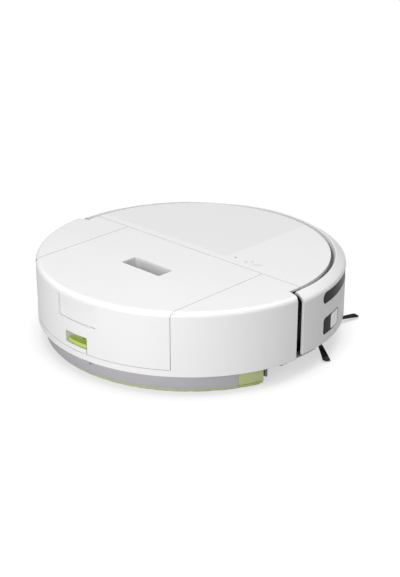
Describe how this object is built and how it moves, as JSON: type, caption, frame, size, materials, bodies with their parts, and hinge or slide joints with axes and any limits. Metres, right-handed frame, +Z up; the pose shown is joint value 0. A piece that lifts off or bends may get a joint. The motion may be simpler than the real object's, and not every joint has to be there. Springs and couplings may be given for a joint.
{
  "type": "robot vacuum",
  "caption": "Round robot vacuum with a bumper, sensor band, rear dust bin, water tank with mop, drive wheels, main brush and side brush.",
  "frame": {"origin": "on the floor under the centre of the round body", "axes": "+Z up, -Y towards the front with the bumper, -X towards the robot's right with the side brush"},
  "size_m": [0.346, 0.345, 0.0945],
  "materials": {
    "battery_wrap": "shrink film",
    "black_gloss": "gloss",
    "brass_contact": "plated",
    "circuit_green": "soldered board",
    "contact_metal": "polished",
    "dark_plastic": "matte",
    "filter_paper": "pleated",
    "green_clear": "translucent",
    "green_plastic": "gloss",
    "grey_plastic": "matte",
    "light_grey_plastic": "satin",
    "light_lens": "frosted",
    "mop_cloth": "microfibre",
    "motor_steel": "satin",
    "nylon_bristle": "bristles",
    "rubber_grey": "matte",
    "spring_steel": "bright",
    "tank_clear": "translucent grey",
    "textured_white": "fine texture",
    "tyre_rubber": "ribbed",
    "white_plastic": "satin"
  },
  "bodies": {
    "body": {"base_plate": "grey_plastic", "wheel_housings": "grey_plastic", "brush_housing": "grey_plastic", "upper_shell": "white_plastic", "front_cover": "white_plastic", "cover_inlay": "textured_white", "status_light": "light_lens", "bumper_springs": "spring_steel", "distance_sensor": "dark_plastic", "gap_strips": "grey_plastic", "fan_housing": "dark_plastic", "fan_motor": "motor_steel", "brush_gearbox": "dark_plastic", "brush_motor": "motor_steel", "side_brush_motor": "dark_plastic", "wheel_springs": "spring_steel", "battery": "battery_wrap", "battery_door": "grey_plastic", "circuit_boards": "circuit_green", "cliff_sensors": "black_gloss", "dock_contacts": "brass_contact", "base_screws": "spring_steel"},
    "bumper": {"bumper_shell": "white_plastic", "bumper_window": "black_gloss", "side_windows": "black_gloss", "charge_contacts": "contact_metal"},
    "start_button": {"start_button": "white_plastic"},
    "home_button": {"home_button": "white_plastic"},
    "dust_bin": {"bin_shell": "white_plastic", "dust_tub": "light_grey_plastic", "hand_slot_liner": "grey_plastic", "dust_filter": "filter_paper", "latch_pocket": "white_plastic", "latch_spring": "spring_steel"},
    "hatch": {"emptying_hatch": "white_plastic"},
    "latch": {"bin_latch": "green_plastic"},
    "flap": {"inlet_flap": "rubber_grey"},
    "impeller": {"fan_impeller": "grey_plastic"},
    "main_brush": {"brush_core": "dark_plastic", "brush_blades": "rubber_grey"},
    "guard": {"brush_guard": "dark_plastic"},
    "side_brush": {"side_brush_hub": "dark_plastic", "side_brush_tufts": "nylon_bristle"},
    "suspension_right": {"arm_right": "dark_plastic", "wheel_motor_right": "motor_steel"},
    "suspension_left": {"arm_left": "dark_plastic", "wheel_motor_left": "motor_steel"},
    "wheel_right": {"wheel_hub_right": "grey_plastic", "tyre_right": "tyre_rubber"},
    "wheel_left": {"wheel_hub_left": "grey_plastic", "tyre_left": "tyre_rubber"},
    "caster_swivel": {"caster_fork": "dark_plastic"},
    "caster_roller": {"caster_wheel": "light_grey_plastic"},
    "tank": {"water_tank": "tank_clear", "tank_lid": "tank_clear", "mop_plate": "green_plastic", "mop_pad": "mop_cloth"},
    "tank_button_right": {"tank_button_right": "green_clear"},
    "tank_button_left": {"tank_button_left": "green_clear"},
    "plug": {"tank_plug": "rubber_grey"}
  },
  "joints": [
    {"name": "bumper_push", "type": "slide", "parent": "body", "child": "bumper", "axis": [0, 1, 0], "range_m": [0, 0.003], "stiffness_N_per_m": 500, "springref_m": -0.003, "deforming": ["bumper_springs"]},
    {"name": "start_press", "type": "slide", "parent": "body", "child": "start_button", "axis": [0, 0, -1], "range_m": [0, 0.001], "stiffness_N_per_m": 300, "springref_m": -0.001},
    {"name": "home_press", "type": "slide", "parent": "body", "child": "home_button", "axis": [0, 0, -1], "range_m": [0, 0.001], "stiffness_N_per_m": 300, "springref_m": -0.001},
    {"name": "bin_pull", "type": "slide", "parent": "body", "child": "dust_bin", "axis": [0, 1, 0], "range_m": [0, 0.15]},
    {"name": "latch_lift", "type": "slide", "parent": "dust_bin", "child": "latch", "axis": [0, 0, 1], "range_m": [0, 0.004], "stiffness_N_per_m": 200, "springref_m": -0.002, "deforming": ["latch_spring"]},
    {"name": "hatch_turn", "type": "hinge", "parent": "dust_bin", "child": "hatch", "pos_m": [0, 0.167, 0.0851], "axis": [1, 0, 0], "range_deg": [0, 60]},
    {"name": "flap_swing", "type": "hinge", "parent": "dust_bin", "child": "flap", "pos_m": [0, 0.0532, 0.0468], "axis": [1, 0, 0], "range_deg": [0, 75]},
    {"name": "fan_spin", "type": "hinge", "parent": "body", "child": "impeller", "pos_m": [0.045, -0.048, 0.07], "axis": [0, 0, 1], "continuous": true},
    {"name": "main_brush_spin", "type": "hinge", "parent": "body", "child": "main_brush", "pos_m": [0, 0.012, 0.02], "axis": [1, 0, 0], "continuous": true},
    {"name": "guard_open", "type": "hinge", "parent": "body", "child": "guard", "pos_m": [0, 0.0345, 0.0102], "axis": [1, 0, 0], "range_deg": [0, 90]},
    {"name": "side_brush_spin", "type": "hinge", "parent": "body", "child": "side_brush", "pos_m": [-0.1128, -0.0777, 0.007], "axis": [0, 0, 1], "continuous": true, "deforming": ["side_brush_tufts"]},
    {"name": "suspension_drop_right", "type": "hinge", "parent": "body", "child": "suspension_right", "pos_m": [-0.12, 0.046, 0.042], "axis": [1, 0, 0], "range_deg": [0, 25], "stiffness_Nm_per_rad": 0.5, "springref_deg": 34.38, "deforming": ["wheel_springs"]},
    {"name": "suspension_drop_left", "type": "hinge", "parent": "body", "child": "suspension_left", "pos_m": [0.12, 0.046, 0.042], "axis": [1, 0, 0], "range_deg": [0, 25], "stiffness_Nm_per_rad": 0.5, "springref_deg": 34.38, "deforming": ["wheel_springs"]},
    {"name": "wheel_spin_right", "type": "hinge", "parent": "suspension_right", "child": "wheel_right", "pos_m": [-0.13, 0, 0.035], "axis": [1, 0, 0], "continuous": true},
    {"name": "wheel_spin_left", "type": "hinge", "parent": "suspension_left", "child": "wheel_left", "pos_m": [0.13, 0, 0.035], "axis": [1, 0, 0], "continuous": true},
    {"name": "caster_turn", "type": "hinge", "parent": "body", "child": "caster_swivel", "pos_m": [0, -0.118, 0.025], "axis": [0, 0, 1], "continuous": true},
    {"name": "caster_roll", "type": "hinge", "parent": "caster_swivel", "child": "caster_roller", "pos_m": [0, -0.114, 0.0095], "axis": [1, 0, 0], "continuous": true},
    {"name": "tank_pull", "type": "slide", "parent": "body", "child": "tank", "axis": [0, 1, 0], "range_m": [0, 0.13]},
    {"name": "tank_button_press_right", "type": "slide", "parent": "tank", "child": "tank_button_right", "axis": [1, 0, 0], "range_m": [0, 0.003], "stiffness_N_per_m": 300, "springref_m": -0.002},
    {"name": "tank_button_press_left", "type": "slide", "parent": "tank", "child": "tank_button_left", "axis": [-1, 0, 0], "range_m": [0, 0.003], "stiffness_N_per_m": 300, "springref_m": -0.002},
    {"name": "plug_pull", "type": "slide", "parent": "tank", "child": "plug", "axis": [0.7431, 0.6691, 0], "range_m": [0, 0.012]}
  ]
}
